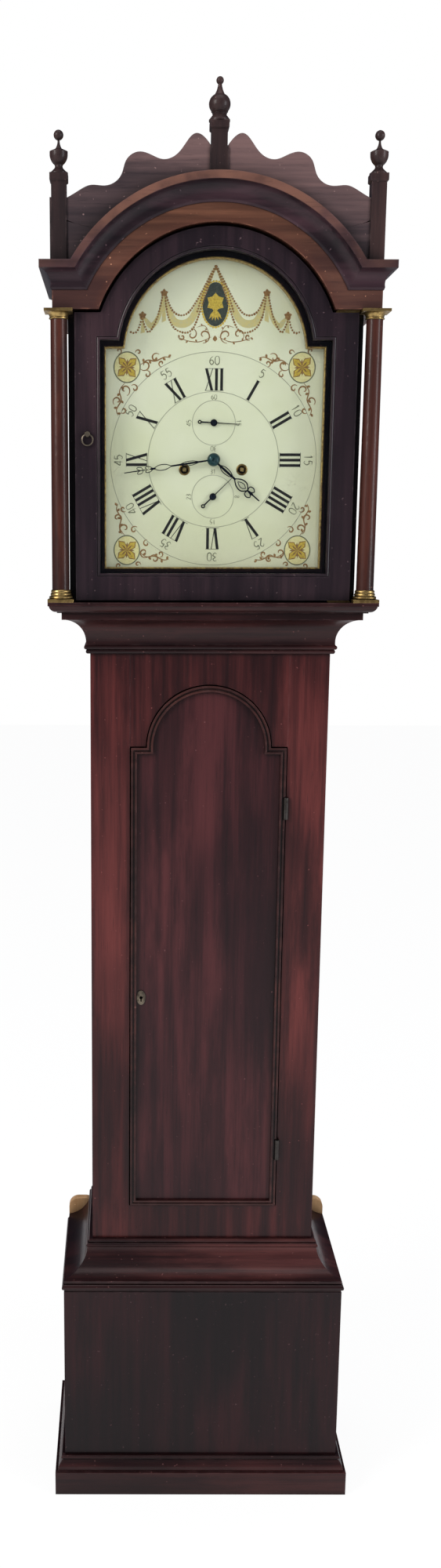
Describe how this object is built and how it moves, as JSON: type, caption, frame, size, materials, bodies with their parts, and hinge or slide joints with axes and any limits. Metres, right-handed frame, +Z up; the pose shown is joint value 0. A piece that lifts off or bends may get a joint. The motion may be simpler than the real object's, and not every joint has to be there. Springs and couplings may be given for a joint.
{
  "type": "longcase clock",
  "caption": "Tall floor clock with an arched glazed hood, painted dial, arched trunk door, two weights and a long pendulum.",
  "frame": {"origin": "on the floor under the middle of the clock's outline", "axes": "+Z up, the dial faces -Y, +X to the viewer's right"},
  "size_m": [0.461, 0.2504, 2.0258],
  "materials": {
    "oak": "polished",
    "oak_dark": "polished",
    "mahogany": "polished",
    "pine": "plain",
    "brass": "polished",
    "brass_dark": "aged",
    "bell_metal": "turned",
    "iron": "dark",
    "cast_iron": "cast",
    "steel": "brushed",
    "blued_steel": "blued",
    "dial_paint": "painted",
    "gut": "plain",
    "glass": "clear"
  },
  "bodies": {
    "case": {"backboard": "pine", "base_boards": "oak", "plinth": "oak_dark", "base_moulding": "oak_dark", "trunk_sides": "oak", "trunk_front_frame": "oak", "throat_moulding": "oak_dark", "seat_board": "pine", "trunk_hinge_fixed_leaves": "iron", "dial_plate": "dial_paint", "dial_feet": "iron", "front_plate": "brass", "back_plate": "brass", "bell": "bell_metal"},
    "trunk_door": {"trunk_door_panel": "oak", "trunk_door_moulding": "oak", "trunk_hinge_door_leaves": "iron", "trunk_door_escutcheon": "brass", "trunk_door_lock": "iron"},
    "lock_bolt": {"lock_bolt": "iron"},
    "hood": {"hood_sides": "oak", "hood_dial_mask": "oak", "hood_roof": "pine", "hood_base_moulding": "oak", "hood_frieze": "mahogany", "hood_cornice": "oak_dark", "cresting_boards": "oak_dark", "finial_blocks": "oak_dark", "finials": "oak_dark", "column_shafts": "oak_dark", "column_brasses": "brass", "hood_hinge_plates": "brass"},
    "hood_door": {"hood_door_frame": "oak", "hood_door_glass": "glass", "hood_door_straps": "brass", "ring_pull_stud": "brass_dark"},
    "ring_pull": {"ring_pull": "brass_dark"},
    "centre_arbor": {"centre_arbor": "brass", "minute_hand": "blued_steel"},
    "hour_wheel": {"hour_wheel": "brass", "hour_hand": "blued_steel"},
    "minute_wheel": {"minute_wheel": "brass"},
    "going_great_wheel": {"going_great_wheel": "brass"},
    "third_wheel": {"third_wheel": "brass"},
    "escape_wheel": {"escape_wheel": "brass", "seconds_hand": "blued_steel"},
    "date_hand": {"date_hand": "blued_steel"},
    "pallets": {"pallets": "steel"},
    "pendulum": {"pendulum_rod": "steel", "pendulum_bob": "brass"},
    "going_weight": {"going_weight": "cast_iron", "going_line": "gut"},
    "going_pulley": {"going_pulley": "brass"},
    "going_barrel": {"going_barrel": "brass"},
    "strike_weight": {"strike_weight": "cast_iron", "strike_line": "gut"},
    "strike_pulley": {"strike_pulley": "brass"},
    "strike_barrel": {"strike_barrel": "brass"},
    "hammer": {"hammer": "steel"}
  },
  "joints": [
    {"name": "trunk_door_swing", "type": "hinge", "parent": "case", "child": "trunk_door", "pos_m": [0.11125, -0.06625, 0.8], "axis": [0, 0, 1], "range_deg": [0, 100]},
    {"name": "lock_bolt_throw", "type": "slide", "parent": "trunk_door", "child": "lock_bolt", "axis": [-1, 0, 0], "range_m": [0, 0.007]},
    {"name": "hood_slide", "type": "slide", "parent": "case", "child": "hood", "axis": [0, -1, 0], "range_m": [0, 0.3]},
    {"name": "hood_door_swing", "type": "hinge", "parent": "hood", "child": "hood_door", "pos_m": [0.183, -0.09975, 1.56], "axis": [0, 0, 1], "range_deg": [0, 95]},
    {"name": "ring_pull_swing", "type": "hinge", "parent": "hood_door", "child": "ring_pull", "pos_m": [-0.1695, -0.10575, 1.591], "axis": [1, 0, 0], "range_deg": [-80, 0]},
    {"name": "pendulum_swing", "type": "hinge", "parent": "case", "child": "pendulum", "pos_m": [0, 0.04725, 1.644], "axis": [0, 1, 0], "range_deg": [-3, 3]},
    {"name": "pallets_rock", "type": "hinge", "parent": "case", "child": "pallets", "pos_m": [0, 0.04, 1.644], "axis": [0, 1, 0], "range_deg": [-3, 3]},
    {"name": "centre_arbor_turn", "type": "hinge", "parent": "case", "child": "centre_arbor", "pos_m": [0, 0, 1.56], "axis": [0, 1, 0], "continuous": true},
    {"name": "hour_wheel_turn", "type": "hinge", "parent": "case", "child": "hour_wheel", "pos_m": [0, 0, 1.56], "axis": [0, 1, 0], "continuous": true},
    {"name": "minute_wheel_turn", "type": "hinge", "parent": "case", "child": "minute_wheel", "pos_m": [-0.02291, 0, 1.58291], "axis": [0, 1, 0], "continuous": true},
    {"name": "great_wheel_turn", "type": "hinge", "parent": "case", "child": "going_great_wheel", "pos_m": [0.039, 0, 1.5474], "axis": [0, 1, 0], "continuous": true},
    {"name": "third_wheel_turn", "type": "hinge", "parent": "case", "child": "third_wheel", "pos_m": [0.01215, 0, 1.58622], "axis": [0, -1, 0], "continuous": true},
    {"name": "escape_wheel_turn", "type": "hinge", "parent": "case", "child": "escape_wheel", "pos_m": [0, 0, 1.6083], "axis": [0, 1, 0], "continuous": true},
    {"name": "date_hand_turn", "type": "hinge", "parent": "case", "child": "date_hand", "pos_m": [0, 0, 1.5117], "axis": [0, 1, 0], "continuous": true},
    {"name": "going_weight_fall", "type": "slide", "parent": "case", "child": "going_weight", "axis": [0, 0, 1], "range_m": [-0.55, 0.34], "deforming": ["going_line"]},
    {"name": "going_pulley_turn", "type": "hinge", "parent": "going_weight", "child": "going_pulley", "pos_m": [0.039, 0, 1.0905], "axis": [0, 1, 0], "range_deg": [-1500, 1000]},
    {"name": "going_barrel_turn", "type": "hinge", "parent": "case", "child": "going_barrel", "pos_m": [0.039, 0, 1.5474], "axis": [0, 1, 0], "range_deg": [-3000, 2000]},
    {"name": "strike_weight_fall", "type": "slide", "parent": "case", "child": "strike_weight", "axis": [0, 0, 1], "range_m": [-0.5, 0.4], "deforming": ["strike_line"]},
    {"name": "strike_pulley_turn", "type": "hinge", "parent": "strike_weight", "child": "strike_pulley", "pos_m": [-0.039, 0, 1.0205], "axis": [0, 1, 0], "range_deg": [-1200, 1500]},
    {"name": "strike_barrel_turn", "type": "hinge", "parent": "case", "child": "strike_barrel", "pos_m": [-0.039, 0, 1.5474], "axis": [0, 1, 0], "range_deg": [-2400, 3000]},
    {"name": "hammer_lift", "type": "hinge", "parent": "case", "child": "hammer", "pos_m": [-0.03, 0, 1.62], "axis": [0, 1, 0], "range_deg": [-5, 0], "stiffness_Nm_per_rad": 0.2, "springref_deg": 2.86}
  ],
  "couplings": [
    {"joint": "pallets_rock", "follows": "pendulum_swing", "ratio": 1},
    {"joint": "centre_arbor_turn", "follows": "third_wheel_turn", "ratio": 0.13333},
    {"joint": "hour_wheel_turn", "follows": "third_wheel_turn", "ratio": 0.011111},
    {"joint": "minute_wheel_turn", "follows": "third_wheel_turn", "ratio": -0.13333},
    {"joint": "great_wheel_turn", "follows": "third_wheel_turn", "ratio": -0.011111},
    {"joint": "escape_wheel_turn", "follows": "third_wheel_turn", "ratio": 8},
    {"joint": "going_pulley_turn", "follows": "going_weight_fall", "rad_per_m": 45.249},
    {"joint": "going_barrel_turn", "follows": "going_weight_fall", "rad_per_m": 90.498},
    {"joint": "strike_pulley_turn", "follows": "strike_weight_fall", "rad_per_m": -45.249},
    {"joint": "strike_barrel_turn", "follows": "strike_weight_fall", "rad_per_m": -90.498}
  ]
}
